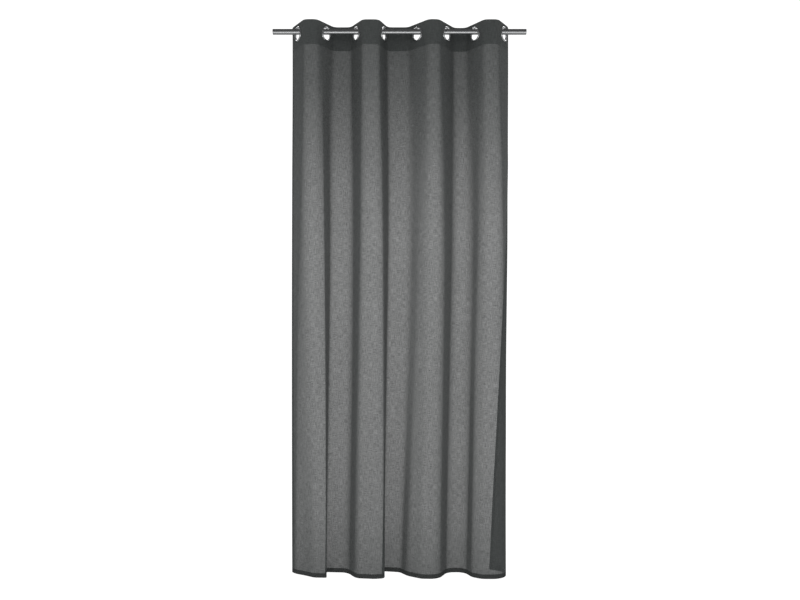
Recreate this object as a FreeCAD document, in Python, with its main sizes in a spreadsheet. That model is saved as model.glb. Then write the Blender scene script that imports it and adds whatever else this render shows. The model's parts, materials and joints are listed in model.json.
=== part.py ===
import FreeCAD, Part

# Eyelet curtain panel: one voile panel with a stiffened header, threaded on a round rod by
# eight two-part metal eyelets and hanging in even folds.
#
# Frame: X along the rod, Y from the front of the curtain to its back, Z up.
# Origin: on the rod's axis, halfway along the rod.
#
# The cloth is one sheet on the real object. It is cut here at the tip of each fold, so that each
# flank, with its eyelet, can turn as the panel is drawn along the rod. Neighbouring flanks meet on
# the plane halfway between their eyelets, which keeps every eyelet on the rod's axis at any draw.

import math
import os

import Sketcher
from FreeCAD import Placement, Rotation, Vector

EYELETS = 8
FOLDS = EYELETS - 1
MIDDLE_FOLD = 4

SIZES = {
    # rod: a plain round tube
    "rod_diameter": 25.0,
    "rod_wall": 1.2,
    "overhang_left": 112.0,     # rod's end to the first eyelet's centre
    "overhang_right": 100.0,
    # cloth, measured flat before it is hung
    "drop": 2450.0,
    "eyelet_pitch": 180.0,
    "middle_pitch": 197.5,      # between the two eyelets beside the panel's centre line
    "side_margin": 61.25,       # outer eyelet's centre to the side edge
    "cloth_thickness": 0.8,
    # header: cloth, stiffening tape and turned-down facing
    "header_height": 108.0,
    "tape_thickness": 0.6,
    "tape_inset": 6.0,          # tape short of the header's lower edge
    "eyelet_edge": 47.0,        # header's top edge to the eyelets' centres
    # hems
    "hem_height": 20.0,
    "side_hem_width": 15.0,
    # eyelets
    "eyelet_bore": 50.0,
    "eyelet_rim": 8.0,          # width of a ring's rim beside the bore
    "collar_wall": 2.0,
    "collar_gap": 0.1,          # collar to the back ring and the cloth's hole
    "back_ring_height": 2.2,
    "back_ring_edge": 0.8,      # straight part of the back ring's rim
    "collar_reach": 0.4,        # collar past the back ring
    "hang_clearance": 2.5,      # rod's top to the top of an eyelet's bore
    # folds
    "crest_radius": 24.0,
    "fold_gap": 2.4,            # between neighbouring flanks at a fold's tip
    "margin_turn_left": 25.0,   # how far a side margin curls back, in degrees
    "margin_turn_right": 12.0,
}
# Each flank's angle to the rod at its eyelet, in degrees, and each fold's cloth length over its
# length along the rod, both from left to right.
TILTS = (58.0, 56.0, 59.0, 69.0, 48.0, 55.0, 55.0, 59.0)
FULLNESSES = (1.438, 1.346, 1.485, 1.311, 1.379, 1.417, 1.417)

SIZES.update({f"tilt_{number}": tilt for number, tilt in enumerate(TILTS, 1)})
SIZES.update({f"fullness_{number}": ratio for number, ratio in enumerate(FULLNESSES, 1)})

doc = FreeCAD.newDocument("curtain_panel")
sheet = doc.addObject("Spreadsheet::Sheet", "sizes")
for row, (alias, value) in enumerate(SIZES.items(), 1):
    sheet.set(f"A{row}", alias)
    sheet.set(f"B{row}", str(value))
    sheet.setAlias(f"B{row}", alias)
doc.recompute()

nodes = []


def size(alias):
    """A driving size as the sheet holds it."""
    return float(sheet.get(alias))


def subpart(body, label):
    """Names a finished sub-part and keeps it for the checks and the export."""
    body.Label = label
    nodes.append(body)
    return body


# ---------------------------------------------------------------- fold line in plan

class Crest:
    """One fold between two eyelets: two straight flanks, two equal arcs and a flat tip.

    The arcs turn the cloth from one flank's tilt to parallel with the rod and on to the next
    flank's tilt, and both flanks reach the same depth.
    """

    def __init__(self, pitch, chord, tilt_in, tilt_out, radius):
        turned = tilt_in - math.sin(tilt_in) + tilt_out - math.sin(tilt_out)
        rise_in = math.tan(tilt_in / 2)
        rise_out = math.tan(tilt_out / 2)
        rounding = (1 - math.cos(tilt_in)) * rise_in + (1 - math.cos(tilt_out)) * rise_out
        self.chord = chord
        self.depth = (pitch - chord + radius * (rounding - turned)) / (rise_in + rise_out)
        self.flank_in = self.flank(tilt_in, radius)
        self.flank_out = self.flank(tilt_out, radius)
        self.tip = pitch - self.flank_in - self.flank_out - radius * (tilt_in + tilt_out)

    def flank(self, tilt, radius):
        """Straight cloth from the eyelet's centre to the start of the arc."""
        return (self.depth - radius * (1 - math.cos(tilt))) / math.sin(tilt)


def pitch_name(fold):
    """The alias of the flat distance between a fold's two eyelets."""
    return "middle_pitch" if fold == MIDDLE_FOLD else "eyelet_pitch"


crest_radius = size("crest_radius")
tilts = [math.radians(size(f"tilt_{number}")) for number in range(1, EYELETS + 1)]
crests = [
    Crest(size(pitch_name(fold)), size(pitch_name(fold)) / size(f"fullness_{fold}"),
          tilts[fold - 1], tilts[fold], crest_radius)
    for fold in range(1, FOLDS + 1)
]
rod_length = size("overhang_left") + sum(c.chord for c in crests) + size("overhang_right")
rod_length_expression = " + ".join(
    ["sizes.overhang_left", "sizes.overhang_right"]
    + [f"sizes.{pitch_name(fold)} / sizes.fullness_{fold}" for fold in range(1, FOLDS + 1)])
eyelet_x = [size("overhang_left") - rod_length / 2]
for fold_crest in crests:
    eyelet_x.append(eyelet_x[-1] + fold_crest.chord)


def front_or_back(number):
    """-1 where a fold comes to the front or a flank runs forwards, +1 where it goes back."""
    return -1 if number % 2 else 1


# A path is a list of (length, turn) pieces from the left edge to the right edge: a straight piece
# has no turn, an arc turns by that angle, anticlockwise seen from above.
bore_radius = size("eyelet_bore") / 2
outer_radius = bore_radius + size("eyelet_rim")
margin_flat = outer_radius + size("collar_gap")
margin_arc = size("side_margin") - margin_flat
left_turn = math.radians(size("margin_turn_left"))
right_turn = math.radians(size("margin_turn_right"))
path = [(margin_arc, left_turn)]
straight = margin_flat
for fold, fold_crest in enumerate(crests, 1):
    way = -front_or_back(fold)
    path.append((straight + fold_crest.flank_in, 0.0))
    path.append((crest_radius * tilts[fold - 1], way * tilts[fold - 1]))
    path.append((fold_crest.tip, 0.0))
    path.append((crest_radius * tilts[fold], way * tilts[fold]))
    straight = fold_crest.flank_out
path.append((straight + margin_flat, 0.0))
path.append((margin_arc, right_turn))


def advance(point, heading, length, turn):
    """The point and heading after a piece, or a part of one."""
    half = turn / 2
    chord = length * math.sin(half) / half if turn else length
    step = Vector(math.cos(heading + half), math.sin(heading + half), 0) * chord
    return point + step, heading + turn


def first_stretch(pieces, length):
    """The pieces that make up the first length of a path."""
    taken = []
    for piece_length, turn in pieces:
        share = min(1.0, length / piece_length)
        if share <= 0:
            break
        taken.append((piece_length * share, turn * share))
        length -= piece_length
    return taken


def path_start():
    """Start point and heading of the path whose first eyelet is on the rod's axis."""
    heading = -tilts[0] - left_turn
    eyelet, _ = advance(Vector(), heading, *path[0])
    eyelet, _ = advance(eyelet, -tilts[0], margin_flat, 0.0)
    return Vector(eyelet_x[0], 0, 0) - eyelet, heading


def path_end():
    """End point of the path, and the heading that looks back along it."""
    point, heading = path_start()
    for length, turn in path:
        point, heading = advance(point, heading, length, turn)
    return point, heading + math.pi


def layer_face(pieces, start, heading, near, far):
    """The face between two lines beside a path, near and far to the right of it."""
    def beside(point, angle, offset):
        return point + Vector(math.sin(angle), -math.cos(angle), 0) * offset

    edges = []
    point = start
    begin = (start, heading)
    for length, turn in pieces:
        middle, middle_heading = advance(point, heading, length / 2, turn / 2)
        end, end_heading = advance(point, heading, length, turn)
        for offset in (near, far):
            ends = (beside(point, heading, offset), beside(end, end_heading, offset))
            if turn:
                bend = beside(middle, middle_heading, offset)
                edges.append(Part.Arc(ends[0], bend, ends[1]).toShape())
            else:
                edges.append(Part.LineSegment(*ends).toShape())
        point, heading = end, end_heading
    for station in (begin, (point, heading)):
        ends = (beside(*station, near), beside(*station, far))
        edges.append(Part.LineSegment(*ends).toShape())
    return Part.Face(Part.Wire(Part.__sortEdges__(edges)))


# ---------------------------------------------------------------- levels and layers

axle_drop = (size("eyelet_bore") - size("rod_diameter")) / 2 - size("hang_clearance")
header_top = size("eyelet_edge") - axle_drop
header_foot = header_top - size("header_height")
cloth_foot = header_top - size("drop")
hem_top = cloth_foot + size("hem_height")
tape_half = size("tape_thickness") / 2
cloth_front = tape_half + size("cloth_thickness")
hem_back = tape_half - size("cloth_thickness")


def standing_layer(name, stretch, near, far, foot, height):
    """A layer of cloth or tape that stands from foot up by height, an expression on the sheet.

    Args:
        stretch: the (pieces, start, heading) of the path that the layer follows.
        near, far: the layer's faces, measured to the front of the fold line.
    """
    outline = doc.addObject("Part::Feature", f"{name}_outline")
    outline.Shape = layer_face(*stretch, near, far)
    outline.Placement = Placement(Vector(0, 0, foot), Rotation())
    layer = doc.addObject("Part::Extrusion", name)
    layer.Base = outline
    layer.DirMode = "Custom"
    layer.Dir = Vector(0, 0, 1)
    layer.Solid = True
    layer.setExpression("LengthFwd", height)
    return layer


whole_width = (path, *path_start())
cloth_layer = standing_layer("cloth_layer", whole_width, tape_half, cloth_front,
                             cloth_foot, "sizes.drop")
facing_layer = standing_layer("facing_layer", whole_width, -cloth_front, -tape_half,
                              header_foot, "sizes.header_height")
tape_layer = standing_layer("tape_layer", whole_width, -tape_half, tape_half,
                            header_foot + size("tape_inset"),
                            "sizes.header_height - sizes.tape_inset")
hem_layer = standing_layer("hem_layer", whole_width, hem_back, tape_half,
                           cloth_foot, "sizes.hem_height")


# ---------------------------------------------------------------- eyelet places

def eyelet_place(number):
    """An eyelet's placement: its own Z axis points out of the cloth's face."""
    tilt = math.degrees(tilts[number - 1]) * front_or_back(number)
    upright = Rotation(Vector(1, 0, 0), 90)
    turned = Rotation(Vector(0, 0, 1), tilt)
    return Placement(Vector(eyelet_x[number - 1], 0, -axle_drop), turned.multiply(upright))


behind_cloth = Placement(Vector(0, 0, -outer_radius), Rotation())
punches = []
for number in range(1, EYELETS + 1):
    punch = doc.addObject("Part::Cylinder", f"punch_{number}")
    punch.setExpression("Radius", "sizes.eyelet_bore / 2 + sizes.collar_wall + sizes.collar_gap")
    punch.setExpression("Height", "sizes.eyelet_bore + 2 * sizes.eyelet_rim")
    punch.Placement = eyelet_place(number).multiply(behind_cloth)
    punches.append(punch)
punch_row = doc.addObject("Part::MultiFuse", "punch_row")
punch_row.Shapes = punches


def punched(layer):
    """The layer with the eyelets' holes in it."""
    cut = doc.addObject("Part::Cut", f"{layer.Name}_punched")
    cut.Base = layer
    cut.Tool = punch_row
    return cut


cloth_layer = punched(cloth_layer)
facing_layer = punched(facing_layer)
tape_layer = punched(tape_layer)


# ---------------------------------------------------------------- cloth, cut at the folds' tips

def flank_slab(number):
    """The upright slab that holds one flank, from fold tip to fold tip."""
    gap = size("fold_gap") / 2
    beyond = size("side_margin") + crest_radius
    low = eyelet_x[number - 1] - beyond
    high = eyelet_x[number - 1] + beyond
    if number > 1:
        low = eyelet_x[number - 1] - crests[number - 2].chord / 2 + gap
    if number < EYELETS:
        high = eyelet_x[number - 1] + crests[number - 1].chord / 2 - gap
    depth = 2 * (max(c.depth for c in crests) + size("side_margin"))
    slab = doc.addObject("Part::Box", f"slab_{number}")
    slab.Length = high - low
    slab.Width = depth
    slab.setExpression("Height", "sizes.drop")
    slab.Placement = Placement(Vector(low, -depth / 2, cloth_foot), Rotation())
    return slab


def flank_piece(layer, slab, label):
    """One flank's share of a layer."""
    piece = doc.addObject("Part::Common", label)
    piece.Base = layer
    piece.Tool = slab
    return subpart(piece, label)


for number in range(1, EYELETS + 1):
    slab = flank_slab(number)
    flank_piece(cloth_layer, slab, f"cloth_{number}")
    flank_piece(facing_layer, slab, f"header_facing_{number}")
    flank_piece(tape_layer, slab, f"header_tape_{number}")
    flank_piece(hem_layer, slab, f"bottom_hem_{number}")


# ---------------------------------------------------------------- side hems

side_hem_height = "sizes.drop - sizes.hem_height - sizes.header_height"
left_edge, left_heading = path_start()
left_stretch = first_stretch(path, size("side_hem_width"))
subpart(standing_layer("side_hem_left", (left_stretch, left_edge, left_heading),
                       hem_back, tape_half, hem_top, side_hem_height), "side_hem_left")

right_edge, right_heading = path_end()
mirrored = [(length, -turn) for length, turn in reversed(path)]
right_stretch = first_stretch(mirrored, size("side_hem_width"))
subpart(standing_layer("side_hem_right", (right_stretch, right_edge, right_heading),
                       -tape_half, -hem_back, hem_top, side_hem_height), "side_hem_right")


# ---------------------------------------------------------------- turned and drawn metal parts

def origin_plane(body, role):
    """One of a body's own origin planes."""
    return next(f for f in body.Origin.OriginFeatures if f.Role == role)


def new_sketch(body, name, role):
    sketch = body.newObject("Sketcher::SketchObject", name)
    sketch.AttachmentSupport = [(origin_plane(body, role), "")]
    sketch.MapMode = "FlatFace"
    return sketch


def bound(sketch, kind, places, expression, guess):
    """Adds a dimension and binds it to the sheet."""
    index = sketch.addConstraint(Sketcher.Constraint(kind, *places, guess))
    sketch.setExpression(f"Constraints[{index}]", expression)


def join(sketch, order):
    """Joins each piece of geometry's end to the next one's start, in a closed loop."""
    for index, geometry in enumerate(order):
        following = order[(index + 1) % len(order)]
        sketch.addConstraint(Sketcher.Constraint("Coincident", geometry, 2, following, 1))


def line(sketch, start, end):
    return sketch.addGeometry(Part.LineSegment(Vector(*start, 0), Vector(*end, 0)), False)


def arc(sketch, start, middle, end):
    return sketch.addGeometry(Part.Arc(Vector(*start, 0), Vector(*middle, 0), Vector(*end, 0)),
                              False)


def revolved(body, sketch, name):
    """Turns a section about the body's own Z axis."""
    turning = body.newObject("PartDesign::Revolution", name)
    turning.Profile = sketch
    turning.ReferenceAxis = (sketch, ["V_Axis"])
    turning.Angle = 360.0
    return turning


ORIGIN = (-1, 1)
outer_radius_expression = "sizes.eyelet_bore / 2 + sizes.eyelet_rim"
collar_wall = size("collar_wall")
seat = cloth_front
back_seat_expression = "sizes.tape_thickness / 2 + sizes.cloth_thickness"
collar_end = seat + size("back_ring_height") + size("collar_reach")


def front_ring(number):
    """Front ring: a half-round rim that seats on the cloth and a collar that passes through it."""
    label = f"eyelet_front_{number}"
    body = doc.addObject("PartDesign::Body", label)
    sketch = new_sketch(body, f"rim_section_{number}", "XZ_Plane")
    rim = size("eyelet_rim") / 2
    slant = collar_wall * math.sqrt(0.5)
    collar_outside = bore_radius + collar_wall
    bend_start = (bore_radius, collar_wall - collar_end)
    bend_middle = (collar_outside - slant, collar_wall - collar_end - slant)
    bend_end = (collar_outside, -collar_end)
    wall = line(sketch, (bore_radius, seat), bend_start)
    # A Part.Arc keeps the anticlockwise sense, which is the loop's own sense at the bend.
    bend = arc(sketch, bend_start, bend_middle, bend_end)
    outside = line(sketch, bend_end, (collar_outside, seat))
    seating = line(sketch, (collar_outside, seat), (outer_radius, seat))
    dome = arc(sketch, (outer_radius, seat), (bore_radius + rim, seat + rim), (bore_radius, seat))
    join(sketch, (wall, bend, outside, seating, dome))
    for upright in (wall, outside):
        sketch.addConstraint(Sketcher.Constraint("Vertical", upright))
    sketch.addConstraint(Sketcher.Constraint("Horizontal", seating))
    sketch.addConstraint(Sketcher.Constraint("Horizontal", bend, 3, bend, 1))
    sketch.addConstraint(Sketcher.Constraint("Vertical", bend, 3, bend, 2))
    sketch.addConstraint(Sketcher.Constraint("Horizontal", dome, 3, dome, 1))
    bound(sketch, "DistanceX", (*ORIGIN, wall, 1), "sizes.eyelet_bore / 2", bore_radius)
    bound(sketch, "DistanceX", (*ORIGIN, seating, 2), outer_radius_expression, outer_radius)
    bound(sketch, "DistanceY", (*ORIGIN, wall, 1), back_seat_expression, seat)
    bound(sketch, "DistanceY", (bend, 2, *ORIGIN),
          f"{back_seat_expression} + sizes.back_ring_height + sizes.collar_reach", collar_end)
    bound(sketch, "DistanceX", (bend, 1, bend, 2), "sizes.collar_wall", collar_wall)
    body.Tip = revolved(body, sketch, f"rim_{number}")
    body.Placement = eyelet_place(number)
    return subpart(body, label)


def back_ring(number):
    """Back ring: a flat washer with a rounded rim, pressed over the collar behind the cloth."""
    label = f"eyelet_back_{number}"
    body = doc.addObject("PartDesign::Body", label)
    sketch = new_sketch(body, f"washer_section_{number}", "XZ_Plane")
    inner = bore_radius + collar_wall + size("collar_gap")
    edge = seat + size("back_ring_edge")
    back = seat + size("back_ring_height")
    corner = back - edge
    slant = corner * math.sqrt(0.5)
    seating = line(sketch, (outer_radius, -seat), (inner, -seat))
    hole = line(sketch, (inner, -seat), (inner, -back))
    flat = line(sketch, (inner, -back), (outer_radius - corner, -back))
    bend = arc(sketch, (outer_radius - corner, -back),
               (outer_radius - corner + slant, -edge - slant), (outer_radius, -edge))
    rim = line(sketch, (outer_radius, -edge), (outer_radius, -seat))
    join(sketch, (seating, hole, flat, bend, rim))
    for level in (seating, flat):
        sketch.addConstraint(Sketcher.Constraint("Horizontal", level))
    for upright in (hole, rim):
        sketch.addConstraint(Sketcher.Constraint("Vertical", upright))
    sketch.addConstraint(Sketcher.Constraint("Horizontal", bend, 3, bend, 2))
    sketch.addConstraint(Sketcher.Constraint("Vertical", bend, 3, bend, 1))
    bound(sketch, "DistanceX", (*ORIGIN, seating, 1), outer_radius_expression, outer_radius)
    bound(sketch, "DistanceX", (*ORIGIN, seating, 2),
          "sizes.eyelet_bore / 2 + sizes.collar_wall + sizes.collar_gap", inner)
    bound(sketch, "DistanceY", (seating, 1, *ORIGIN), back_seat_expression, seat)
    bound(sketch, "DistanceY", (hole, 2, hole, 1), "sizes.back_ring_height",
          size("back_ring_height"))
    bound(sketch, "DistanceY", (rim, 1, rim, 2), "sizes.back_ring_edge", size("back_ring_edge"))
    body.Tip = revolved(body, sketch, f"washer_{number}")
    body.Placement = eyelet_place(number)
    return subpart(body, label)


def rod_tube():
    """The rod: a straight tube with plain cut ends."""
    body = doc.addObject("PartDesign::Body", "rod")
    sketch = new_sketch(body, "tube_section", "YZ_Plane")
    rod_radius = size("rod_diameter") / 2
    for radius, expression in ((rod_radius, "sizes.rod_diameter / 2"),
                               (rod_radius - size("rod_wall"),
                                "sizes.rod_diameter / 2 - sizes.rod_wall")):
        circle = sketch.addGeometry(Part.Circle(Vector(), Vector(0, 0, 1), radius), False)
        sketch.addConstraint(Sketcher.Constraint("Coincident", circle, 3, *ORIGIN))
        bound(sketch, "Radius", (circle,), expression, radius)
    drawn = body.newObject("PartDesign::Pad", "tube")
    drawn.Profile = sketch
    drawn.SideType = "Symmetric"
    drawn.setExpression("Length", rod_length_expression)
    body.Tip = drawn
    return subpart(body, "rod")


for number in range(1, EYELETS + 1):
    front_ring(number)
    back_ring(number)
rod_tube()


# ---------------------------------------------------------------- checks and export

doc.recompute()
for item in doc.Objects:
    if "Invalid" in item.State or "Error" in item.State:
        raise RuntimeError(f"{item.Label} failed to build: {item.State}")
for node in nodes:
    if node.Shape.isNull() or not node.Shape.isValid() or not node.Shape.Solids:
        raise RuntimeError(f"{node.Label} has no valid solid")
    if len(node.Shape.Solids) != 1:
        raise RuntimeError(f"{node.Label} came out as {len(node.Shape.Solids)} solids")

os.makedirs("parts", exist_ok=True)
for node in nodes:
    node.Shape.exportStep(f"parts/{node.Label}.step")

print("rod length", round(rod_length, 2), "eyelets at", [round(x, 2) for x in eyelet_x])
print("fold depths", [round(c.depth, 2) for c in crests])
print("levels", round(header_top, 2), round(header_foot, 2), round(cloth_foot, 2))
print("flat width", round(sum(length for length, _ in path), 2), "nodes", len(nodes))
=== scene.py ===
"""Looks of the eyelet curtain panel: a voile cloth with a stiffened header on a steel rod.

The cloth is one sheet. It is built in strips that run from eyelet to eyelet, and in two narrow
strips at the side edges.
Lengths are in metres. X runs along the rod, Y from the front of the curtain to its back, and Z is
up.
"""

import json
import logging
import math
from dataclasses import dataclass, field
from enum import Enum

import bpy
import numpy as np
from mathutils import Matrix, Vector


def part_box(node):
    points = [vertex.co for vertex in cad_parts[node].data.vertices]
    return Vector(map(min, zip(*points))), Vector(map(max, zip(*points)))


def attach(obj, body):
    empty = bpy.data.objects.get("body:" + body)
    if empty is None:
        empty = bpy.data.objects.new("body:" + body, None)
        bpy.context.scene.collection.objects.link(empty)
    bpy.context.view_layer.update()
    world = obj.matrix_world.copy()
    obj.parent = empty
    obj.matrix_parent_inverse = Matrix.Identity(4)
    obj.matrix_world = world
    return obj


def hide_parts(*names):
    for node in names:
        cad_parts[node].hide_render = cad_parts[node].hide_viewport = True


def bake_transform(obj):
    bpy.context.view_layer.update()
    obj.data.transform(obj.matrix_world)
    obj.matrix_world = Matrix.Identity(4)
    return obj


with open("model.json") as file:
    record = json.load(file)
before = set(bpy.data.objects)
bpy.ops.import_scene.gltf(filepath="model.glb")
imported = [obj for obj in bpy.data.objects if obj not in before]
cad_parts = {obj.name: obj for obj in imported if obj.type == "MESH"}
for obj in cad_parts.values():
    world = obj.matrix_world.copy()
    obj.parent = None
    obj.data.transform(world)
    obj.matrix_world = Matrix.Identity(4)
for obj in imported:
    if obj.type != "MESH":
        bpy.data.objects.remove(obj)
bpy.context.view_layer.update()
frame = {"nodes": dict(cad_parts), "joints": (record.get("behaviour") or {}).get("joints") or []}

EYELETS = 8
FOLDS = EYELETS - 1

log = logging.getLogger("curtain")


# ------------------------------------------------------------------ shader helpers

def node(tree: bpy.types.NodeTree, kind: str, inputs: dict | None = None,
         **settings: object) -> bpy.types.Node:
    """Adds a shader node.

    Args:
        tree: the tree that gets the node.
        kind: the node's type.
        inputs: what goes into its sockets, each a plain value or another node's output.
        settings: the node's own properties.

    Returns:
        The new node.
    """
    made = tree.nodes.new(kind)
    for name, value in settings.items():
        setattr(made, name, value)
    for name, value in (inputs or {}).items():
        socket = made.inputs[name]
        if isinstance(value, bpy.types.NodeSocket):
            tree.links.new(value, socket)
        else:
            socket.default_value = value
    return made


def maths(tree: bpy.types.NodeTree, operation: str, *values: object,
          clamp: bool = False) -> bpy.types.NodeSocket:
    """The result of one Math node.

    Args:
        tree: the tree that gets the node.
        operation: what the node does.
        values: plain values or sockets, in the order of the node's inputs.
        clamp: whether the result is held between 0 and 1.

    Returns:
        The node's result.
    """
    made = node(tree, "ShaderNodeMath", dict(enumerate(values)), operation=operation,
                use_clamp=clamp)
    return made.outputs[0]


def stretched(tree: bpy.types.NodeTree, vector: object,
              scale: tuple[float, float, float]) -> bpy.types.NodeSocket:
    """A vector multiplied along each of its axes.

    Args:
        tree: the tree that gets the node.
        vector: the socket to stretch.
        scale: what each axis is multiplied by.

    Returns:
        The stretched vector.
    """
    made = node(tree, "ShaderNodeVectorMath", {0: vector, 1: scale}, operation="MULTIPLY")
    return made.outputs[0]


def mapped(tree: bpy.types.NodeTree, value: object, low: float, high: float, to_low: float,
           to_high: float) -> bpy.types.NodeSocket:
    """A value's range carried over to another range, and held to it.

    Args:
        tree: the tree that gets the node.
        value: the value or socket to carry over.
        low: the start of the value's range.
        high: its end.
        to_low: what the start becomes.
        to_high: what the end becomes.

    Returns:
        The new value.
    """
    made = node(tree, "ShaderNodeMapRange", {"Value": value, "From Min": low, "From Max": high,
                                             "To Min": to_low, "To Max": to_high})
    return made.outputs[0]


def new_group(name: str, inputs: dict[str, tuple[str, object]], outputs: dict[str, str]
              ) -> tuple[bpy.types.NodeTree, bpy.types.Node, bpy.types.Node]:
    """Makes an empty shader group.

    Args:
        name: the group's name.
        inputs: each input's name, with its socket type and usual value.
        outputs: each output's name, with its socket type.

    Returns:
        The group's tree, its input node and its output node.
    """
    tree = bpy.data.node_groups.new(name, "ShaderNodeTree")
    for label, (kind, value) in inputs.items():
        socket = tree.interface.new_socket(label, in_out="INPUT", socket_type=kind)
        if value is not None:
            socket.default_value = value
    for label, kind in outputs.items():
        tree.interface.new_socket(label, in_out="OUTPUT", socket_type=kind)
    return tree, tree.nodes.new("NodeGroupInput"), tree.nodes.new("NodeGroupOutput")


def weave_group() -> bpy.types.NodeTree:
    """Plain weave with slubs, laid out along the cloth's own length and width.

    Open is how far the weave is open beside its usual, about 1. Tone lightens and darkens the yarn,
    about 1. Height is for a bump.

    Returns:
        The group's tree.
    """
    number = "NodeSocketFloat"
    slub_scales = ((40.0, 430.0, 1.0), (390.0, 34.0, 1.0))    # across the cloth, and along it
    mottle_scale = (11.0, 5.0, 1.0)
    mottle_depth, yarn_depth, tone_share = 0.03, 0.12, 0.5
    tree, given, result = new_group(
        "plain_weave",
        {"Cloth": ("NodeSocketVector", None), "Yarn Pitch": (number, 0.0012),
         "Slub": (number, 0.5)},
        {"Open": number, "Tone": number, "Height": number})
    cloth = given.outputs["Cloth"]
    split = node(tree, "ShaderNodeSeparateXYZ", {0: cloth})
    pitch = given.outputs["Yarn Pitch"]
    waves = []
    for axis in ("X", "Y"):
        turns = maths(tree, "DIVIDE", split.outputs[axis], pitch)
        waves.append(maths(tree, "COSINE", maths(tree, "MULTIPLY", turns, math.tau)))
    crossings = maths(tree, "MULTIPLY", *waves)
    streaks = []
    for scale in slub_scales:
        noise = node(tree, "ShaderNodeTexNoise",
                     {"Vector": stretched(tree, cloth, scale), "Scale": 1.0, "Detail": 3.0,
                      "Roughness": 0.62}, noise_dimensions="2D")
        streaks.append(mapped(tree, noise.outputs[0], 0.36, 0.68, -1.0, 1.0))
    slubs = maths(tree, "MULTIPLY", maths(tree, "ADD", *streaks), given.outputs["Slub"])
    cloudy = node(tree, "ShaderNodeTexNoise",
                  {"Vector": stretched(tree, cloth, mottle_scale), "Scale": 1.0,
                   "Detail": 4.0}, noise_dimensions="2D")
    mottle = mapped(tree, cloudy.outputs[0], 0.3, 0.7, -mottle_depth, mottle_depth)
    yarns = maths(tree, "MULTIPLY", crossings, yarn_depth)
    spread = maths(tree, "ADD", maths(tree, "ADD", slubs, yarns), mottle)
    tree.links.new(maths(tree, "ADD", 1.0, spread), result.inputs["Open"])
    tree.links.new(maths(tree, "ADD", 1.0, maths(tree, "MULTIPLY", spread, tone_share)),
                   result.inputs["Tone"])
    tree.links.new(maths(tree, "ADD", crossings, slubs), result.inputs["Height"])
    return tree


def drawn_grain_group() -> bpy.types.NodeTree:
    """Fine scratches along the X axis, as drawing and polishing leave them on metal.

    Returns:
        The group's tree.
    """
    number = "NodeSocketFloat"
    tree, given, result = new_group(
        "drawn_grain",
        {"Place": ("NodeSocketVector", None), "Along": (number, 6.0), "Across": (number, 900.0)},
        {"Grain": number})
    scale = node(tree, "ShaderNodeCombineXYZ",
                 {"X": given.outputs["Along"], "Y": given.outputs["Across"],
                  "Z": given.outputs["Across"]})
    place = node(tree, "ShaderNodeVectorMath", {0: given.outputs["Place"], 1: scale.outputs[0]},
                 operation="MULTIPLY")
    noise = node(tree, "ShaderNodeTexNoise",
                 {"Vector": place.outputs[0], "Scale": 1.0, "Detail": 5.0, "Roughness": 0.6})
    tree.links.new(mapped(tree, noise.outputs[0], 0.3, 0.7, 0.0, 1.0), result.inputs["Grain"])
    return tree


def fresh_material(name: str) -> tuple[bpy.types.Material, bpy.types.NodeTree, bpy.types.Node]:
    """Makes a material.

    Args:
        name: the material's name.

    Returns:
        The material, its tree and its Principled node.
    """
    material = bpy.data.materials.new(name)
    material.use_nodes = True
    tree = material.node_tree
    return material, tree, tree.nodes["Principled BSDF"]


def paint(tree: bpy.types.NodeTree, shader: bpy.types.Node, colour: tuple[float, float, float],
          tone: bpy.types.NodeSocket) -> None:
    """Gives a shader its colour, made lighter and darker by a tone of about 1."""
    made = node(tree, "ShaderNodeVectorMath", {0: colour, "Scale": tone}, operation="SCALE")
    tree.links.new(made.outputs[0], shader.inputs["Base Color"])


def emboss(tree: bpy.types.NodeTree, shader: bpy.types.Node, height: bpy.types.NodeSocket,
           strength: float, distance: float) -> None:
    """Gives a shader its fine relief."""
    bump = node(tree, "ShaderNodeBump",
                {"Height": height, "Strength": strength, "Distance": distance})
    tree.links.new(bump.outputs[0], shader.inputs["Normal"])


# ------------------------------------------------------------------ finishes

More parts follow.
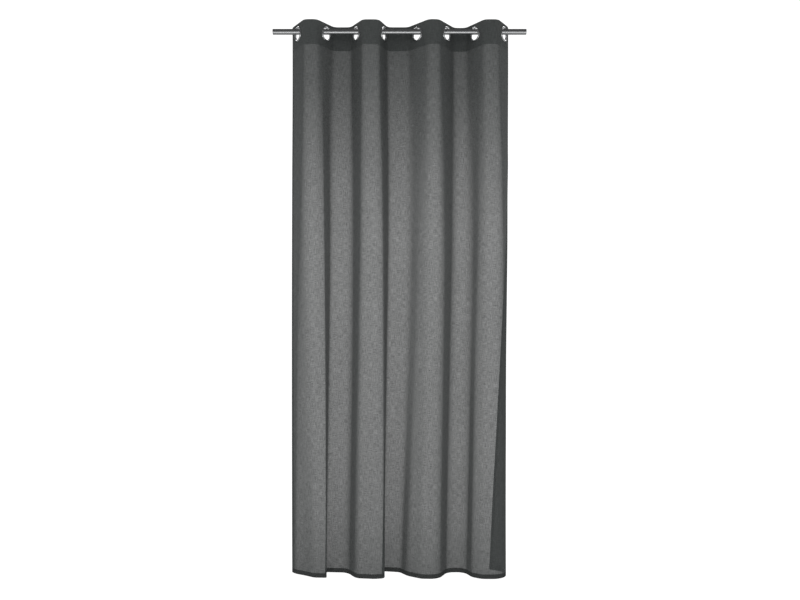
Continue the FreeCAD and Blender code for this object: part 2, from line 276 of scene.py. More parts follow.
@dataclass(frozen=True)
class Voile:
    """A semi-sheer dark voile.

    Light passes the gaps between the yarns. The yarns close those gaps as the cloth is seen more
    and more along its face, until only the glow through the yarns themselves is left. The cloth is
    painted less see-through towards the top and the foot, a painted shade where the light behind it
    falls off, and its colour is painted darker over the hem, a painted shade for the light that the
    turned hem's layers hold back.
    """

    colour: tuple[float, float, float] = (0.0398, 0.0430, 0.0425)
    yarn_share: float = 0.56
    glow: float = 0.2
    hem_shade: float = 0.64
    hem_edge: float = 0.001
    steepest: float = 0.05
    relief: float = 0.35
    relief_height: float = 0.0002
    roughness: float = 0.88
    shine: float = 0.12
    slub: float = 0.25
    # openness by height: the cloth's own openness, with a painted shade that makes it less
    # see-through towards the top and the foot, where the light behind it falls off
    openness_and_painted_shade: tuple[tuple[float, float], ...] = (
        (0.0, 0.07), (0.02, 0.088), (0.12, 0.125), (0.26, 0.142), (0.6, 0.166), (0.69, 0.147),
        (0.78, 0.110), (0.89, 0.058), (0.957, 0.038), (1.0, 0.03))

    def material(self, weave: bpy.types.NodeTree, foot: float, hem: float,
                 top: float) -> bpy.types.Material:
        """Builds the finish.

        Args:
            weave: the plain weave group.
            foot: the cloth's lowest level.
            hem: the level of the hem's upper edge.
            top: the cloth's highest level.

        Returns:
            The material.
        """
        made, tree, shader = fresh_material("voile")
        cloth = node(tree, "ShaderNodeUVMap", uv_map="cloth").outputs[0]
        threads = node(tree, "ShaderNodeGroup", node_tree=weave)
        tree.links.new(cloth, threads.inputs["Cloth"])
        threads.inputs["Slub"].default_value = self.slub
        place = node(tree, "ShaderNodeTexCoord").outputs["Object"]
        height = node(tree, "ShaderNodeSeparateXYZ", {0: place}).outputs["Z"]
        # painted shade: the colour is darker over the hem, standing in for the light that the
        # turned hem's layers hold back
        hem_painted_shade = mapped(tree, height, hem - self.hem_edge, hem + self.hem_edge,
                         self.hem_shade, 1.0)
        tone = maths(tree, "MULTIPLY", threads.outputs["Tone"], hem_painted_shade)
        paint(tree, shader, self.colour, tone)
        # painted shade: the see-through share falls off towards the top and the foot, where the
        # light behind the cloth is dimmer
        level = mapped(tree, height, foot, top, 0.0, 1.0)
        ramp = node(tree, "ShaderNodeValToRGB", {0: level})
        stops = ramp.color_ramp.elements
        while len(stops) < len(self.openness_and_painted_shade):
            stops.new(0.5)
        for stop, (at, share) in zip(stops, self.openness_and_painted_shade):
            stop.position = at
            stop.color = (share, share, share, 1.0)
        facing = node(tree, "ShaderNodeLayerWeight", {"Blend": 0.5}).outputs["Facing"]
        squareness = maths(tree, "MAXIMUM", maths(tree, "SUBTRACT", 1.0, facing),
                           self.steepest)
        covered = maths(tree, "DIVIDE", self.yarn_share, squareness)
        gaps = mapped(tree, covered, self.yarn_share, 1.0, 1.0, self.glow)
        passed = maths(tree, "MULTIPLY", maths(tree, "MULTIPLY", ramp.outputs[0], gaps),
                       threads.outputs["Open"])
        emboss(tree, shader, threads.outputs["Height"], self.relief, self.relief_height)
        tree.links.new(maths(tree, "SUBTRACT", 1.0, passed, clamp=True), shader.inputs["Alpha"])
        shader.inputs["Roughness"].default_value = self.roughness
        shader.inputs["Specular IOR Level"].default_value = self.shine
        return made


@dataclass(frozen=True)
class HeaderTape:
    """The stiff bonded tape inside the header."""

    colour: tuple[float, float, float] = (0.03, 0.031, 0.032)
    fibre_scale: float = 900.0
    relief: float = 0.3
    relief_height: float = 0.0002
    roughness: float = 0.95
    shine: float = 0.1

    def material(self) -> bpy.types.Material:
        """Builds the finish: a felt of short fibres.

        Returns:
            The material.
        """
        made, tree, shader = fresh_material("header_tape")
        cloth = node(tree, "ShaderNodeUVMap", uv_map="cloth").outputs[0]
        fibres = node(tree, "ShaderNodeTexNoise",
                      {"Vector": cloth, "Scale": self.fibre_scale, "Detail": 4.0,
                       "Distortion": 1.5}, noise_dimensions="2D")
        paint(tree, shader, self.colour, mapped(tree, fibres.outputs[0], 0.3, 0.7, 0.8, 1.25))
        emboss(tree, shader, fibres.outputs[0], self.relief, self.relief_height)
        shader.inputs["Roughness"].default_value = self.roughness
        shader.inputs["Specular IOR Level"].default_value = self.shine
        return made


@dataclass(frozen=True)
class Thread:
    """Dark polyester sewing thread."""

    colour: tuple[float, float, float] = (0.05, 0.052, 0.053)
    ply_scale: float = 900.0
    roughness: float = 0.55
    shine: float = 0.3

    def material(self) -> bpy.types.Material:
        """Builds the finish: two plies twisted along the stitch.

        Returns:
            The material.
        """
        made, tree, shader = fresh_material("sewing_thread")
        place = node(tree, "ShaderNodeTexCoord").outputs["Object"]
        plies = node(tree, "ShaderNodeTexWave",
                     {"Vector": place, "Scale": self.ply_scale, "Distortion": 1.0},
                     bands_direction="DIAGONAL")
        paint(tree, shader, self.colour, mapped(tree, plies.outputs[1], 0.0, 1.0, 0.75, 1.25))
        shader.inputs["Roughness"].default_value = self.roughness
        shader.inputs["Specular IOR Level"].default_value = self.shine
        return made


@dataclass(frozen=True)
class Metal:
    """A bare metal finish with drawn grain and small marks."""

    name: str
    colour: tuple[float, float, float]
    roughness: tuple[float, float]
    along: float
    across: float
    relief: float
    relief_height: float = 0.00005
    mark_scale: float = 60.0
    mark_roughness: float = 0.06

    def material(self, grain: bpy.types.NodeTree) -> bpy.types.Material:
        """Builds the finish.

        Args:
            grain: the drawn grain group.

        Returns:
            The material.
        """
        made, tree, shader = fresh_material(self.name)
        place = node(tree, "ShaderNodeTexCoord").outputs["Object"]
        lines = node(tree, "ShaderNodeGroup", node_tree=grain)
        tree.links.new(place, lines.inputs["Place"])
        lines.inputs["Along"].default_value = self.along
        lines.inputs["Across"].default_value = self.across
        marks = node(tree, "ShaderNodeTexNoise",
                     {"Vector": place, "Scale": self.mark_scale, "Detail": 6.0,
                      "Roughness": 0.7})
        smudge = mapped(tree, marks.outputs[0], 0.4, 0.7, 0.0, self.mark_roughness)
        fine = mapped(tree, lines.outputs["Grain"], 0.0, 1.0, *self.roughness)
        tone = mapped(tree, lines.outputs["Grain"], 0.0, 1.0, 0.94, 1.04)
        paint(tree, shader, self.colour, tone)
        emboss(tree, shader, lines.outputs["Grain"], self.relief, self.relief_height)
        tree.links.new(maths(tree, "ADD", fine, smudge), shader.inputs["Roughness"])
        shader.inputs["Metallic"].default_value = 1.0
        return made


STEEL = Metal("rod_steel", (0.62, 0.63, 0.64), (0.18, 0.24), along=4.0, across=1400.0, relief=0.08)
PLATE = Metal("eyelet_metal", (0.80, 0.81, 0.82), (0.12, 0.2), along=120.0, across=500.0,
              relief=0.1)


# ------------------------------------------------------------------ the cloth's line from above

@dataclass(frozen=True)
class FoldLine:
    """The cloth's line seen from above: its heading, in radians, at points along the cloth."""

    along: np.ndarray
    heading: np.ndarray

    def at(self, along: np.ndarray) -> np.ndarray:
        """The heading at each given point along the cloth."""
        return np.interp(along, self.along, self.heading)


@dataclass(frozen=True)
class Run:
    """A stretch of cloth that keeps one heading, in degrees: 0 is along the rod, 90 to the back."""

    length: float
    heading: float


@dataclass(frozen=True)
class HeaderShape:
    """How the stiff header stands: flat through each eyelet, with round crests between."""

    pitch: float = 0.180
    middle_pitch: float = 0.1975
    middle_fold: int = 4
    side_margin: float = 0.06125
    flat_margin: float = 0.0331
    crest_radius: float = 0.024
    margin_turns: tuple[float, float] = (5.0, 20.0)
    tilts: tuple[float, ...] = (58.0, 56.0, 59.0, 69.0, 48.0, 55.0, 55.0, 59.0)

    def eyelets_along(self) -> list[float]:
        """Finds the eyelets on the flat cloth.

        Returns:
            Each eyelet's centre, along the cloth from its left edge.
        """
        places = [self.side_margin]
        for fold in range(1, FOLDS + 1):
            places.append(places[-1] + (self.middle_pitch if fold == self.middle_fold
                                        else self.pitch))
        return places

    def width(self) -> float:
        """The flat width of the whole cloth."""
        return self.eyelets_along()[-1] + self.side_margin

    def line(self, eyelet_x: list[float]) -> FoldLine:
        """The header's line.

        Args:
            eyelet_x: where each eyelet is on the rod.

        Returns:
            The line, straight through each eyelet and round at each crest.
        """
        tilts = [math.radians(tilt) for tilt in self.tilts]
        left, right = (math.radians(turn) for turn in self.margin_turns)
        places = self.eyelets_along()
        along = [0.0, self.side_margin - self.flat_margin]
        heading = [-tilts[0] - left, -tilts[0]]
        for fold in range(FOLDS):
            before, after = tilts[fold], tilts[fold + 1]
            side = -1.0 if fold % 2 == 0 else 1.0
            slope = math.tan(before / 2), math.tan(after / 2)
            bow = [self.crest_radius * (1 - math.cos(tilt)) for tilt in (before, after)]
            spare = places[fold + 1] - places[fold] - (eyelet_x[fold + 1] - eyelet_x[fold])
            turned = self.crest_radius * (before - math.sin(before) + after - math.sin(after))
            depth = (spare - turned + bow[0] * slope[0] + bow[1] * slope[1]) / sum(slope)
            start = places[fold] + (depth - bow[0]) / math.sin(before)
            end = places[fold + 1] - (depth - bow[1]) / math.sin(after)
            along += [start, start + self.crest_radius * before,
                      end - self.crest_radius * after, end]
            heading += [side * before, 0.0, 0.0, -side * after]
        along += [places[-1] + self.flat_margin, self.width()]
        heading += [tilts[-1], tilts[-1] + right]
        return FoldLine(np.array(along), np.array(heading))


@dataclass(frozen=True)
class FootShape:
    """How the cloth hangs at its foot, where nothing holds the folds.

    Two front folds swing over past their own back flank, and the right-hand edge folds away
    behind the last front fold.

    The runs are the result of a least-squares fit in another program, a few of them edited
    afterwards. They are not sizes chosen by hand.
    """

    bend: float = 0.030
    bend_share: float = 0.9     # the most of a run that its bends take up
    runs: tuple[Run, ...] = (
        Run(0.027, -48.0), Run(0.045, -26.0), Run(0.054, -31.0), Run(0.045, -3.0),
        Run(0.009, 8.0), Run(0.064, 106.0),
        Run(0.084, -4.0), Run(0.030, -36.0), Run(0.042, -62.0), Run(0.026, -42.0),
        Run(0.072, -6.0), Run(0.044, 13.0),
        Run(0.078, 105.0),
        Run(0.078, -9.0), Run(0.055, -54.0), Run(0.072, -31.0), Run(0.052, -2.0),
        Run(0.033, 30.0), Run(0.059, 64.0), Run(0.027, 28.0),
        Run(0.036, 1.0), Run(0.030, -26.0), Run(0.053, -65.0), Run(0.046, -28.0),
        Run(0.062, 0.0), Run(0.037, 26.0), Run(0.032, 61.0),
        Run(0.044, 104.0), Run(0.064, 151.0))
    flanks: tuple[int, ...] = (0, 5, 8, 12, 14, 18, 22, 27)

    def marks(self) -> list[float]:
        """Where each eyelet's flank of cloth ends up: both side edges, and eight places between."""
        ends = np.cumsum([run.length for run in self.runs])
        return [0.0, *(ends[index] - self.runs[index].length / 2 for index in self.flanks),
                ends[-1]]

    def line(self) -> FoldLine:
        """The foot's line.

        Returns:
            Each run's heading, with an even bend between two runs.
        """
        along, heading = [0.0], [math.radians(self.runs[0].heading)]
        end = 0.0
        for run, following in zip(self.runs, self.runs[1:]):
            end += run.length
            half = min(self.bend, run.length * self.bend_share,
                       following.length * self.bend_share) / 2
            along += [end - half, end + half]
            heading += [math.radians(run.heading), math.radians(following.heading)]
        along.append(end + self.runs[-1].length)
        heading.append(math.radians(self.runs[-1].heading))
        return FoldLine(np.array(along), np.array(heading))


class Side(Enum):
    """The panel's two side edges."""

    LEFT = "left"
    RIGHT = "right"


@dataclass
class Drape:
    """The hanging cloth's shape: the header's line above, easing into the foot's line below."""

    header: HeaderShape = field(default_factory=HeaderShape)
    foot: FootShape = field(default_factory=FootShape)
    ease: float = 1.25
    waist: float = 0.010
    left_foot: float = -0.4805
    foot_reach: float = 0.9515
    foot_middle: float = -0.002
    deepest: float = 0.133
    header_rounding: float = 0.007
    rounding: float = 0.019
    rounded_at: float = 0.22
    step: float = 0.002
    sway: tuple[tuple[float, float, float, float], ...] = (
        (0.9, 0.37, 2.1, 0.4), (0.7, 0.23, -3.4, 2.1), (0.5, 0.131, 4.6, 4.4))

    def __post_init__(self) -> None:
        """Takes the cloth's levels and the eyelets' places from the frame."""
        self.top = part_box("cloth_1")[1].z
        self.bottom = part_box("cloth_1")[0].z
        self.header_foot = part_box("header_facing_1")[0].z
        self.hem_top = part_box("bottom_hem_1")[1].z
        low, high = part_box("eyelet_back_1")
        self.eyelet_z = ((low + high) / 2).z
        hinges = {joint["name"]: Vector(joint["pos_m"]) for joint in frame["joints"]}
        self.crest_x = [hinges[f"fold_{fold}"].x for fold in range(1, FOLDS + 1)]
        self.eyelet_x = [hinges["draw"].x]
        for x in self.crest_x:
            self.eyelet_x.append(2 * x - self.eyelet_x[-1])
        self.eyelet_along = self.header.eyelets_along()
        self.width = self.header.width()
        self.grid = np.linspace(0.0, self.width, round(self.width / self.step) + 1)
        crisp = self.header.line(self.eyelet_x).at(self.grid)
        self.header_heading = self.softened(crisp, self.header_rounding)
        self.soft_heading = self.softened(crisp, self.rounding)
        self.foot_heading = self.foot.line().at(self.grid)
        self.header_marks = [0.0, *self.eyelet_along, self.width]
        self.foot_marks = self.foot.marks()
        x, y = self.trail(self.header_heading)
        first_x, first_y = (np.interp(self.eyelet_along[0], self.grid, line) for line in (x, y))
        self.left_top = self.eyelet_x[0] - first_x
        self.header_middle = (y.min() + y.max()) / 2 - first_y
        self.header_reach = np.ptp(x)

    def softened(self, heading: np.ndarray, rounding: float) -> np.ndarray:
        """The heading with its corners rounded.

        Args:
            heading: the heading at each point of the grid.
            rounding: about how much cloth each corner is rounded over.

        Returns:
            The rounded heading at each point of the grid.
        """
        reach = round(3 * rounding / self.step)
        weight = np.exp(-0.5 * (np.arange(-reach, reach + 1) * self.step / rounding) ** 2)
        ends = heading[0] * np.ones(reach), heading[-1] * np.ones(reach)
        return np.convolve(np.concatenate([ends[0], heading, ends[1]]), weight / weight.sum(),
                           "valid")

    def trail(self, heading: np.ndarray) -> tuple[np.ndarray, np.ndarray]:
        """The line that starts at 0, 0 and follows a heading.

        Args:
            heading: the heading at each point of the grid.

        Returns:
            Each grid point's x and y.
        """
        steps = np.diff(self.grid)
        middle = (heading[1:] + heading[:-1]) / 2
        x = np.concatenate([[0.0], np.cumsum(np.cos(middle) * steps)])
        y = np.concatenate([[0.0], np.cumsum(np.sin(middle) * steps)])
        return x, y

    def level(self, z: float) -> tuple[np.ndarray, np.ndarray, np.ndarray]:
        """The cloth's line at one level.

        Args:
            z: the level.

        Returns:
            Each grid point's x, y and heading.
        """
        hang = (self.header_foot - z) / (self.header_foot - self.bottom)
        share = min(max(hang, 0.0), 1.0) ** self.ease
        rounded = min(max(hang, 0.0) / self.rounded_at, 1.0)
        above = self.between(rounded, self.header_heading, self.soft_heading)
        marks = self.between(share, np.array(self.header_marks), np.array(self.foot_marks))
        heading = self.between(share, *(
            np.interp(np.interp(self.grid, marks, ends), self.grid, line)
            for ends, line in ((self.header_marks, above),
                               (self.foot_marks, self.foot_heading))))
        for degrees, wave, twist, start in self.sway:
            phase = math.tau * self.grid / wave + twist * z + start
            heading = heading + math.radians(degrees) * share ** 0.5 * np.sin(phase)
        x, y = self.trail(heading)
        reach = (self.between(share, self.header_reach, self.foot_reach)
                 - 4 * self.waist * share * (1 - share))
        left = self.between(share, self.left_top, self.left_foot)
        middle = self.between(share, self.header_middle, self.foot_middle)
        y = (y - (y.min() + y.max()) / 2) * min(1.0, self.deepest / np.ptp(y)) + middle
        x = left + x * reach / np.ptp(x)
        held = (1 - rounded) * np.interp(self.grid, self.eyelet_along, self.eyelet_x
                                         - np.interp(self.eyelet_along, self.grid, x))
        off = (1 - rounded) * np.interp(self.grid, self.eyelet_along,
                                        np.interp(self.eyelet_along, self.grid, y))
        return x + held, y - off, heading

    @staticmethod
    def between(share: float, above: object, below: object) -> object:
        """What lies at this share of the way from the header's value to the foot's."""
        return (1 - share) * above + share * below

    def place(self, along: np.ndarray, z: np.ndarray, lift: np.ndarray) -> np.ndarray:
        """Points on the cloth.

        Args:
            along: each point's place along the cloth.
            z: each point's level.
            lift: how far each point stands in front of the fold line.

        Returns:
            An array of points, one row each.
        """
        points = np.zeros((len(along), 3))
        levels, which = np.unique(np.round(z, 6), return_inverse=True)
        for index, level in enumerate(levels):
            here = np.flatnonzero(which == index)
            x, y, heading = (np.interp(along[here], self.grid, line)
                             for line in self.level(level))
            points[here, 0] = x + np.sin(heading) * lift[here]
            points[here, 1] = y - np.cos(heading) * lift[here]
            points[here, 2] = level
        return points


# ------------------------------------------------------------------ the cloth and what is on it

@dataclass(frozen=True)
class Row:
    """One row of a sheet's points: its level, its place on the cut cloth and its lift."""

    z: float
    down: float
    lift: float


@dataclass(frozen=True)
class Column:
    """One column of a sheet's points: its place along the panel and on the cut cloth."""

    along: float
    across: float
    lift: float = 0.0


def evenly(start: float, end: float, step: float) -> list[float]:
    """Values from start to end, about a step apart.

    Args:
        start: the first value.
        end: the last value, which may be the lower one.
        step: about how far apart the values are.

    Returns:
        The values, both ends included.
    """
    count = max(1, round(abs(end - start) / step))
    return [start + (end - start) * index / count for index in range(count + 1)]


def mesh_piece(name: str, points: np.ndarray, faces: list[tuple[int, ...]],
               material: bpy.types.Material, uv: np.ndarray | None = None) -> bpy.types.Object:
    """Makes a smooth mesh piece.

    Args:
        name: the piece's name.
        points: its points, one row each.
        faces: each face's points, by number.
        material: its finish.
        uv: each point's place on the cut cloth, where the finish needs it.

    Returns:
        The piece.
    """
    mesh = bpy.data.meshes.new(name)
    mesh.from_pydata(points.tolist(), [], faces)
    if uv is not None:
        layer = mesh.uv_layers.new(name="cloth")
        corners = np.zeros(len(mesh.loops), np.int32)
        mesh.loops.foreach_get("vertex_index", corners)
        layer.data.foreach_set("uv", uv[corners].astype(np.float32).ravel())
    mesh.materials.append(material)
    mesh.shade_smooth()
    made = bpy.data.objects.new(name, mesh)
    bpy.context.scene.collection.objects.link(made)
    return made


@dataclass
class Curtain:
    """The cloth with its turned header and hems, the tape inside the header, and the seams."""

    drape: Drape
    voile: bpy.types.Material
    tape: bpy.types.Material
    thread: bpy.types.Material
    fine: float = 0.0036
    header_rows: float = 0.004
    body_rows: float = 0.014
    beside_edge: float = 0.0006
    face_lift: float = 0.0007
    facing_lift: float = -0.0007
    hem_lift: float = -0.0003
    side_hem: float = 0.015
    side_hem_lift: float = -0.0009
    hole: float = 0.0288
    tape_short: float = 0.006
    blend_reach: float = 0.024
    stitch: float = 0.0031
    stitch_gap: float = 0.0007
    stitch_thick: float = 0.00022
    stitch_proud: float = 0.0001
    seam_inset: float = 0.0022
    edge_inset: float = 0.0006      # the face's rows stop this short of the top edge and the foot
    tape_inset: float = 0.0009      # the tape stops this short of the top edge
    turned_cloth: float = 0.001     # the cloth that a turned edge takes up
    tape_gap: float = 0.001         # the side hem to the tape
    hem_start: float = 0.0004       # the side hem's columns start this far in from the edge
    hem_columns: float = 0.002
    edge_fold: float = 0.0002       # the cloth in half of a side edge's fold
    turn_angles: tuple[int, ...] = (-60, -30, 0, 30, 60)

    def columns(self, start: float, end: float) -> list[Column]:
        """Columns of a strip, with one close beside each end so that strips meet smoothly.

        Args:
            start: where the strip starts along the cloth.
            end: where it ends.

        Returns:
            The columns, from start to end.
        """
        inner = evenly(start + self.beside_edge, end - self.beside_edge, self.fine)
        return [Column(along, along) for along in (start, *inner, end)]

    def turned_columns(self, side: Side) -> list[Column]:
        """Columns of a side strip: the turned hem behind, round the edge, and on to the eyelet.

        Args:
            side: which side edge.

        Returns:
            The columns, from left to right.
        """
        drape = self.drape
        outer = self.columns(0.0, drape.eyelet_along[0])
        behind = [Column(along, -along, self.side_hem_lift)
                  for along in evenly(self.side_hem, self.hem_start, self.hem_columns)]
        edge = [Column(0.0, -self.edge_fold, self.side_hem_lift / 2)]
        whole = behind + edge + [Column(column.along, column.across + self.edge_fold)
                                 for column in outer]
        if side is Side.LEFT:
            return whole
        width = drape.width
        return [Column(width - column.along, width - column.across, column.lift)
                for column in reversed(whole)]

    def turn(self, z: float, down: float, lifts: tuple[float, float], way: float) -> list[Row]:
        """Rows round a turned edge.

        Args:
            z: the level where the edge starts to turn.
            down: that level's place on the cut cloth.
            lifts: the lifts of the layer before the edge and of the one after it.
            way: 1 for an edge that turns over the top, -1 for one that turns under.

        Returns:
            The rows, from one layer to the other.
        """
        middle, radius = sum(lifts) / 2, (lifts[1] - lifts[0]) / 2
        rows = []
        for angle in self.turn_angles:
            turned = math.radians(angle)
            rows.append(Row(z + way * abs(radius) * math.cos(turned),
                            down + abs(radius) * turned, middle + radius * math.sin(turned)))
        return rows

    def rows(self) -> list[Row]:
        """Rows of the whole cloth: up the facing, over the top, down the face and up the hem.

        Returns:
            The rows, in that order.
        """
        drape = self.drape
        top, foot = drape.top - self.edge_inset, drape.bottom + self.edge_inset
        lifts = (self.facing_lift, self.face_lift)
        rows = [Row(z, top - z, self.facing_lift)
                for z in evenly(drape.header_foot, top, self.header_rows)]
        rows = [Row(row.z, -row.down, row.lift) for row in rows]
        rows += self.turn(top, 0.0, lifts, 1.0)
        rows += [Row(z, top - z + self.turned_cloth, self.face_lift)
                 for z in evenly(top, drape.header_foot, self.header_rows)]
        body = evenly(drape.header_foot, drape.hem_top, self.body_rows)[1:]
        hem = evenly(drape.hem_top, foot, self.header_rows)[1:]
        rows += [Row(z, top - z + self.turned_cloth, self.face_lift) for z in body + hem]
        length = top - foot + self.turned_cloth
        rows += self.turn(foot, length, (self.face_lift, self.hem_lift), -1.0)
        rows += [Row(z, length + self.turned_cloth + z - foot, self.hem_lift)
                 for z in evenly(foot, drape.hem_top, self.header_rows)]
        return rows

    def sheet(self, name: str, columns: list[Column], rows: list[Row],
              material: bpy.types.Material) -> bpy.types.Object:
        """A sheet over columns and rows, with the eyelets' holes cut in it.

        Args:
            name: the piece's name.
            columns: the sheet's columns.
            rows: the sheet's rows.
            material: its finish.

        Returns:
            The sheet.
        """
        drape = self.drape
        cells = [(row, column) for row in rows for column in columns]
        across = np.array([column.across for _, column in cells])
        along = np.array([column.along for _, column in cells])
        level = np.array([row.z for row, _ in cells])
        lift = np.array([row.lift + column.lift for row, column in cells])
        down = np.array([row.down for row, _ in cells])
        inside = np.zeros(len(along), bool)
        for centre in drape.eyelet_along:
            out = np.hypot(along - centre, level - drape.eyelet_z)
            inside |= out < self.hole
        wide = len(columns)
        first = (np.arange(len(rows) - 1)[:, None] * wide + np.arange(wide - 1)).ravel()
        quads = np.stack([first, first + wide, first + wide + 1, first + 1], axis=1)
        quads = quads[~inside[quads].all(axis=1)]
        for centre in drape.eyelet_along:
            off, high = along - centre, level - drape.eyelet_z
            out = np.hypot(off, high)
            grow = np.where(out < self.hole, self.hole / np.maximum(out, 1e-6), 1.0)
            along = centre + off * grow
            level = drape.eyelet_z + high * grow
        used, faces = np.unique(quads, return_inverse=True)
        points = drape.place(along[used], level[used], lift[used])
        uv = np.stack([across[used], -down[used]], axis=1)
        return mesh_piece(name, points, [tuple(face) for face in faces.reshape(-1, 4).tolist()],
                          material, uv)

    def tape_rows(self) -> list[Row]:
        """Rows of the tape: from the turned top edge to just above the header's foot.

        Returns:
            The rows, from the top down.
        """
        drape = self.drape
        top = drape.top - self.tape_inset
        return [Row(z, top - z, 0.0) for z in
                evenly(top, drape.header_foot + self.tape_short, self.header_rows)]

    def stitching(self, name: str, start: float, end: float,
                  sides: tuple[Side, ...] = ()) -> bpy.types.Object:
        """The stitches on one strip: the header's and the hem's seams, and the side hems'.

        Args:
            name: the piece's name.
            start: where the strip starts along the cloth.
            end: where it ends.
            sides: the side hems that the strip has.

        Returns:
            The stitches, as one piece.
        """
        drape = self.drape
        spots: list[tuple[float, float, float, float]] = []
        pace = self.stitch + self.stitch_gap
        seams = (drape.header_foot + self.seam_inset, drape.hem_top - self.seam_inset)
        for z in seams:
            for number in range(math.ceil(start / pace), math.ceil(end / pace)):
                along = number * pace
                if along + self.stitch < end:
                    spots.append((along, z, along + self.stitch, z))
        for side in sides:
            inset = self.side_hem - self.seam_inset
            along = inset if side is Side.LEFT else drape.width - inset
            for number in range(int((seams[0] - seams[1]) / pace)):
                z = seams[0] - number * pace
                spots.append((along, z, along, z - self.stitch))
        faces, along, level, lift = [], [], [], []
        ring = [(math.cos(turn), math.sin(turn)) for turn in (0, math.tau / 4, math.tau / 2,
                                                             -math.tau / 4)]
        for front in (True, False):
            for from_along, from_z, to_along, to_z in spots:
                base = len(along)
                level_seam = from_z == to_z
                is_header = level_seam and abs(from_z - seams[0]) < 1e-9
                if front:
                    sit = self.face_lift + self.stitch_proud
                else:
                    sit = (self.facing_lift if is_header else self.hem_lift) - self.stitch_proud
                # a tip, two rings of four corners and a tip
                for share, thick in ((0.0, 0.0), (0.2, 1.0), (0.8, 1.0), (1.0, 0.0)):
                    middle_along = from_along + (to_along - from_along) * share
                    middle_z = from_z + (to_z - from_z) * share
                    spread = ring if thick else [(0.0, 0.0)]
                    for across, out in spread:
                        move = across * self.stitch_thick
                        along.append(middle_along + (0.0 if level_seam else move))
                        level.append(middle_z + (move if level_seam else 0.0))
                        lift.append(sit + out * self.stitch_thick)
                for corner in range(4):
                    following = (corner + 1) % 4
                    a, b = base + 1 + corner, base + 1 + following
                    faces += [(base, b, a), (a, b, b + 4, a + 4), (base + 9, a + 4, b + 4)]
        points = drape.place(np.array(along), np.array(level), np.array(lift))
        return mesh_piece(name, points, faces, self.thread)

    def hang(self, piece: bpy.types.Object, fold: int) -> None:
        """Bakes a strip's transform into its points, so that it stays where it is.

        Args:
            piece: the strip, or what is on it.
            fold: the fold's number; not used.
        """
        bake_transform(piece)

    def fold_strip(self, fold: int) -> None:
        """Builds everything of the cloth between two eyelets.

        Args:
            fold: the number of the fold between them.
        """
        start, end = self.drape.eyelet_along[fold - 1:fold + 1]
        columns, rows = self.columns(start, end), self.rows()
        cloth = self.sheet(f"voile_{fold}", columns, rows, self.voile)
        tape = self.sheet(f"tape_{fold}", columns, self.tape_rows(), self.tape)
        seams = self.stitching(f"stitches_{fold}", start, end)
        for piece in (cloth, tape, seams):
            self.hang(piece, fold)
        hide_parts(f"cloth_{fold}", f"header_facing_{fold}", f"bottom_hem_{fold}")
        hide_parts(f"header_tape_{fold}")

    def side_strip(self, side: Side) -> None:
        """Builds the narrow strip between an outer eyelet and the panel's side edge.

        Args:
            side: which side edge.
        """
        drape = self.drape
        number = 1 if side is Side.LEFT else EYELETS
        start, end = ((0.0, drape.eyelet_along[0]) if side is Side.LEFT
                      else (drape.eyelet_along[-1], drape.width))
        cloth = self.sheet(f"voile_{side.value}", self.turned_columns(side), self.rows(),
                           self.voile)
        inside = ((start + self.side_hem + self.tape_gap, end) if side is Side.LEFT
                  else (start, end - self.side_hem - self.tape_gap))
        tape = self.sheet(f"tape_{side.value}", self.columns(*inside), self.tape_rows(),
                          self.tape)
        seams = self.stitching(f"stitches_{side.value}", start, end, (side,))
        for piece in (cloth, tape, seams):
            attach(piece, f"pleat_{number}")
        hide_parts(f"side_hem_{side.value}")
        if side is Side.RIGHT:
            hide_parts(f"cloth_{number}", f"header_facing_{number}",
                        f"bottom_hem_{number}")
            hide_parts(f"header_tape_{number}")

    def build(self) -> None:
        """Builds the whole cloth, from left to right."""
        self.side_strip(Side.LEFT)
        for fold in range(1, FOLDS + 1):
            self.fold_strip(fold)
        self.side_strip(Side.RIGHT)


# ------------------------------------------------------------------ rod and eyelets

@dataclass
class Hardware:
    """The rod and the eyelets, which keep their own shapes and get their metals."""

    steel: bpy.types.Material
    plate: bpy.types.Material

    def dress(self) -> None:
        """Gives the rod and each eyelet ring its finish."""
        for name, made in frame["nodes"].items():
            finish = self.steel if name == "rod" else self.plate
            if name == "rod" or name.startswith("eyelet"):
                made.data.materials.clear()
                made.data.materials.append(finish)
                log.info("%s is %s", name, finish.name)


# ------------------------------------------------------------------ studio

@dataclass(frozen=True)
class SoftLight:
    """A soft rectangular light, which shiny parts mirror only if it is said so."""

    name: str
    place: tuple[float, float, float]
    aim: tuple[float, float, float]
    size: tuple[float, float]
    power: float
    mirrored: bool = False

    def hang(self) -> None:
        """Puts the light in the studio, out of the camera's sight."""
        data = bpy.data.lights.new(self.name, "AREA")
        data.shape = "RECTANGLE"
        data.size, data.size_y = self.size
        data.energy = self.power
        lamp = bpy.data.objects.new(self.name, data)
        lamp.location = self.place
        toward = Vector(self.aim) - Vector(self.place)
        lamp.rotation_euler = toward.to_track_quat("-Z", "Y").to_euler()
        lamp.visible_camera = False
        lamp.visible_glossy = self.mirrored
        bpy.context.scene.collection.objects.link(lamp)


LIGHTS = (
    SoftLight("front_light", (-0.1, -2.7, -2.0), (0.0, 0.0, -0.1), (3.0, 0.8), 12.0, True),
    SoftLight("back_left_light", (-2.7, 2.3, 2.5), (0.0, 0.0, 0.0), (2.0, 1.8), 30.0, True),
    SoftLight("back_right_light", (2.7, 2.3, 2.5), (0.0, 0.0, 0.0), (2.0, 1.8), 30.0, True),
    SoftLight("header_light", (0.0, -2.4, 0.5), (0.0, 0.0, 0.0), (2.6, 0.5), 10.0),
    SoftLight("left_light", (-3.2, -1.6, 0.6), (0.0, 0.0, -0.6), (1.2, 2.2), 10.0),
    SoftLight("right_light", (3.4, -0.6, 0.4), (0.0, 0.0, -0.6), (1.0, 2.0), 7.0))


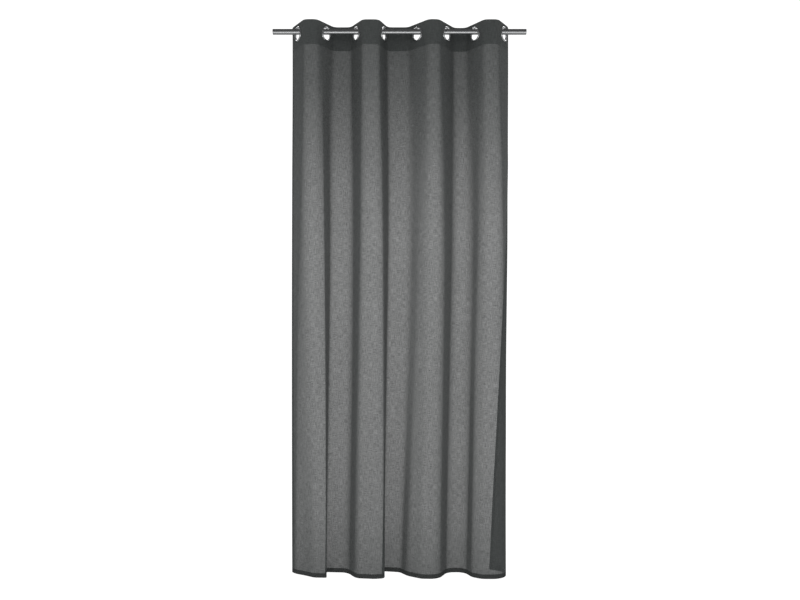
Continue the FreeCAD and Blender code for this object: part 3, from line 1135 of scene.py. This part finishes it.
@dataclass
class Studio:
    """A plain white studio: pale floor, even white surround, soft lights and the camera."""

    surround: float = 1.12
    mirrored_above: float = 0.06
    mirrored_below: float = 0.19
    mirrored_heights: tuple[float, float] = (-0.5, 0.3)
    floor_gap: float = 0.012
    floor_half: float = 40.0
    floor_glow: float = 1.01        # beside the surround
    floor_matt: float = 0.12        # share of the floor that takes shade
    floor_colour: tuple[float, float, float, float] = (0.92, 0.92, 0.92, 1.0)
    aside: float = 0.002
    distance: float = 3.413
    eye_level: float = -1.1935
    focal: float = 34.5
    sensor: float = 36.0
    farthest: float = 200.0

    def world(self) -> None:
        """An even white surround, which mirrors see as a dim studio."""
        world = bpy.data.worlds.new("studio")
        bpy.context.scene.world = world
        world.use_nodes = True
        tree = world.node_tree
        background = tree.nodes["Background"]
        mirror = node(tree, "ShaderNodeLightPath").outputs["Is Glossy Ray"]
        toward = node(tree, "ShaderNodeTexCoord").outputs["Generated"]
        height = node(tree, "ShaderNodeSeparateXYZ", {0: toward}).outputs["Z"]
        dim = mapped(tree, height, *self.mirrored_heights, self.mirrored_below,
                     self.mirrored_above)
        strength = node(tree, "ShaderNodeMix", {0: mirror, 2: self.surround, 3: dim}).outputs[0]
        tree.links.new(strength, background.inputs["Strength"])
        background.inputs["Color"].default_value = (1.0, 1.0, 1.0, 1.0)

    def floor(self, level: float) -> None:
        """A plain pale floor, as bright as the surround.

        Args:
            level: the floor's height.
        """
        half = self.floor_half
        corners = np.array([(-half, -half, level), (half, -half, level), (half, half, level),
                            (-half, half, level)])
        material = bpy.data.materials.new("studio_floor")
        material.use_nodes = True
        tree = material.node_tree
        tree.nodes.clear()
        mirror = node(tree, "ShaderNodeLightPath").outputs["Is Glossy Ray"]
        strength = mapped(tree, mirror, 0.0, 1.0, self.surround * self.floor_glow,
                          self.mirrored_below)
        glow = node(tree, "ShaderNodeEmission", {"Strength": strength})
        matt = node(tree, "ShaderNodeBsdfDiffuse", {"Color": self.floor_colour})
        mixed = node(tree, "ShaderNodeMixShader",
                     {0: self.floor_matt, 1: glow.outputs[0], 2: matt.outputs[0]})
        shown = node(tree, "ShaderNodeOutputMaterial")
        tree.links.new(mixed.outputs[0], shown.inputs["Surface"])
        floor = mesh_piece("studio_floor", corners, [(0, 1, 2, 3)], material)

    def camera(self) -> None:
        """A level camera at half the curtain's height."""
        data = bpy.data.cameras.new("camera")
        data.lens = self.focal
        data.sensor_width = self.sensor
        data.clip_end = self.farthest
        camera = bpy.data.objects.new("camera", data)
        camera.location = (self.aside, -self.distance, self.eye_level)
        camera.rotation_euler = (math.radians(90), 0, 0)
        bpy.context.scene.collection.objects.link(camera)
        bpy.context.scene.camera = camera

    def build(self, foot: float) -> None:
        """Builds the studio round the curtain.

        Args:
            foot: the level of the curtain's foot.
        """
        self.world()
        self.floor(foot - self.floor_gap)
        for light in LIGHTS:
            light.hang()
        self.camera()
        bpy.context.scene.view_settings.view_transform = "Standard"


def main() -> None:
    """Builds the curtain, dresses its metal parts and sets up the studio."""
    logging.basicConfig(level=logging.INFO, format="%(message)s")
    drape = Drape()
    weave = weave_group()
    grain = drawn_grain_group()
    curtain = Curtain(drape, Voile().material(weave, drape.bottom, drape.hem_top, drape.top),
                      HeaderTape().material(), Thread().material())
    curtain.build()
    Hardware(STEEL.material(grain), PLATE.material(grain)).dress()
    Studio().build(drape.bottom)


if __name__ == "__main__":
    main()
